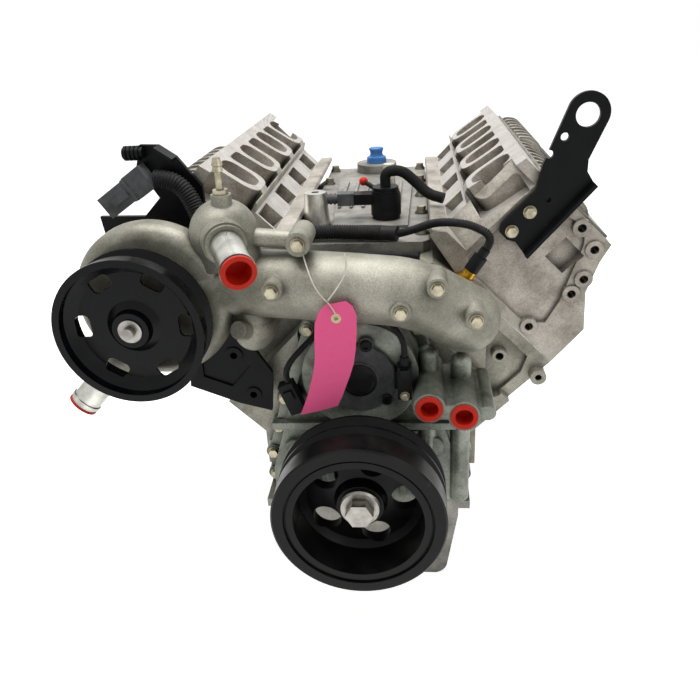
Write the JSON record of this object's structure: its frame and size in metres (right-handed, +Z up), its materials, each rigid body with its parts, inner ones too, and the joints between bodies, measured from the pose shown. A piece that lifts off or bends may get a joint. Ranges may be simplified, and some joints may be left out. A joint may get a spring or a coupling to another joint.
{
  "type": "V8 engine long block",
  "caption": "Bare 90-degree overhead-valve V8 long block with ribbed valve covers, front water pump, belt pulley, crankshaft balancer, valley cover and lift bracket",
  "frame": {"origin": "centre of the crankshaft's flywheel flange, on its rear face", "axes": "+Z up, +Y along the crankshaft from the front of the engine to the flywheel end, +X towards the cylinder bank that stands forward"},
  "size_m": [0.6439, 0.681, 0.6121],
  "materials": {
    "cast_block": "as cast",
    "cast_head": "as cast, machined faces",
    "cast_cover": "as cast",
    "valve_cover": "as cast",
    "cap_iron": "machined",
    "bearing": "machined",
    "gasket": "coated",
    "steel": "machined",
    "forged_steel": "ground journals",
    "piston_alloy": "machined",
    "black_iron": "black e-coat",
    "rubber": "matt",
    "pump_casting": "as cast",
    "nipple": "bright",
    "plastic_black": "matt",
    "plastic_grey": "matt",
    "plastic_dark": "matt",
    "valley_plate": "as cast",
    "post_clear": "milky",
    "cap_blue": "matt",
    "cap_red": "soft",
    "brass": "plain",
    "bracket_black": "satin black",
    "screw": "zinc plated",
    "tag_card": "card",
    "string": "cotton",
    "pan_alloy": "as cast"
  },
  "bodies": {
    "long_block": {"engine_block": "cast_block", "main_caps": "cap_iron", "bearing_shells": "bearing", "cylinder_head_right": "cast_head", "cylinder_head_left": "cast_head", "head_gaskets": "gasket", "valve_cover_right": "valve_cover", "valve_cover_left": "valve_cover", "spark_plugs": "nipple", "timing_chain": "steel", "front_cover": "cast_cover", "oil_pump": "cast_cover", "crank_seals": "rubber", "rear_cover": "cast_cover", "water_pump_housing": "pump_casting", "thermostat_housing": "pump_casting", "coolant_nipples": "nipple", "vent_barb": "brass", "cam_actuator": "plastic_dark", "cam_sensor": "plastic_black", "position_sensor": "plastic_black", "valley_cover": "valley_plate", "valley_posts": "pump_casting", "breather_cap": "post_clear", "rear_port_cap": "cap_blue", "purge_solenoid": "plastic_black", "solenoid_plug": "plastic_grey", "purge_hose": "rubber", "main_loom": "plastic_dark", "loom_branches": "plastic_dark", "side_conduit": "plastic_dark", "temperature_sensor": "brass", "sensor_plug": "plastic_black", "lift_bracket": "bracket_black", "accessory_bracket": "bracket_black", "harness_bracket": "bracket_black", "harness_connector": "plastic_grey", "oil_pan": "pan_alloy", "flange_screws": "screw", "hang_tag": "tag_card", "shipping_caps": "cap_red", "tag_string": "string"},
    "crankshaft_train": {"crankshaft": "forged_steel", "crank_sprocket": "steel", "balancer_hub": "black_iron", "balancer_rubber": "rubber", "balancer_rim": "black_iron", "crank_bolt": "steel"},
    "camshaft_train": {"camshaft": "forged_steel", "cam_phaser": "steel"},
    "pump_rotor": {"pump_shaft": "steel", "pump_pulley": "black_iron"},
    "piston_right_1_body": {"piston_right_1": "piston_alloy"},
    "piston_right_2_body": {"piston_right_2": "piston_alloy"},
    "piston_right_3_body": {"piston_right_3": "piston_alloy"},
    "piston_right_4_body": {"piston_right_4": "piston_alloy"},
    "piston_left_1_body": {"piston_left_1": "piston_alloy"},
    "piston_left_2_body": {"piston_left_2": "piston_alloy"},
    "piston_left_3_body": {"piston_left_3": "piston_alloy"},
    "piston_left_4_body": {"piston_left_4": "piston_alloy"}
  },
  "joints": [
    {"name": "crank_turn", "type": "hinge", "parent": "long_block", "child": "crankshaft_train", "pos_m": [0, -0.25, 0], "axis": [0, 1, 0], "continuous": true},
    {"name": "cam_turn", "type": "hinge", "parent": "long_block", "child": "camshaft_train", "pos_m": [0, -0.25, 0.125], "axis": [0, 1, 0], "continuous": true},
    {"name": "pump_turn", "type": "hinge", "parent": "long_block", "child": "pump_rotor", "pos_m": [-0.2368, -0.6, 0.214], "axis": [0, 1, 0], "continuous": true},
    {"name": "piston_right_1_slide", "type": "slide", "parent": "long_block", "child": "piston_right_1_body", "axis": [0.7071, 0, 0.7071], "range_m": [-0.075, 0.0169]},
    {"name": "piston_right_2_slide", "type": "slide", "parent": "long_block", "child": "piston_right_2_body", "axis": [0.7071, 0, 0.7071], "range_m": [-0.01, 0.0819]},
    {"name": "piston_right_3_slide", "type": "slide", "parent": "long_block", "child": "piston_right_3_body", "axis": [0.7071, 0, 0.7071], "range_m": [-0.075, 0.0169]},
    {"name": "piston_right_4_slide", "type": "slide", "parent": "long_block", "child": "piston_right_4_body", "axis": [0.7071, 0, 0.7071], "range_m": [-0.01, 0.0819]},
    {"name": "piston_left_1_slide", "type": "slide", "parent": "long_block", "child": "piston_left_1_body", "axis": [-0.7071, 0, 0.7071], "range_m": [-0.075, 0.0169]},
    {"name": "piston_left_2_slide", "type": "slide", "parent": "long_block", "child": "piston_left_2_body", "axis": [-0.7071, 0, 0.7071], "range_m": [-0.075, 0.0169]},
    {"name": "piston_left_3_slide", "type": "slide", "parent": "long_block", "child": "piston_left_3_body", "axis": [-0.7071, 0, 0.7071], "range_m": [-0.01, 0.0819]},
    {"name": "piston_left_4_slide", "type": "slide", "parent": "long_block", "child": "piston_left_4_body", "axis": [-0.7071, 0, 0.7071], "range_m": [-0.01, 0.0819]}
  ],
  "couplings": [
    {"joint": "cam_turn", "follows": "crank_turn", "ratio": 0.5}
  ]
}
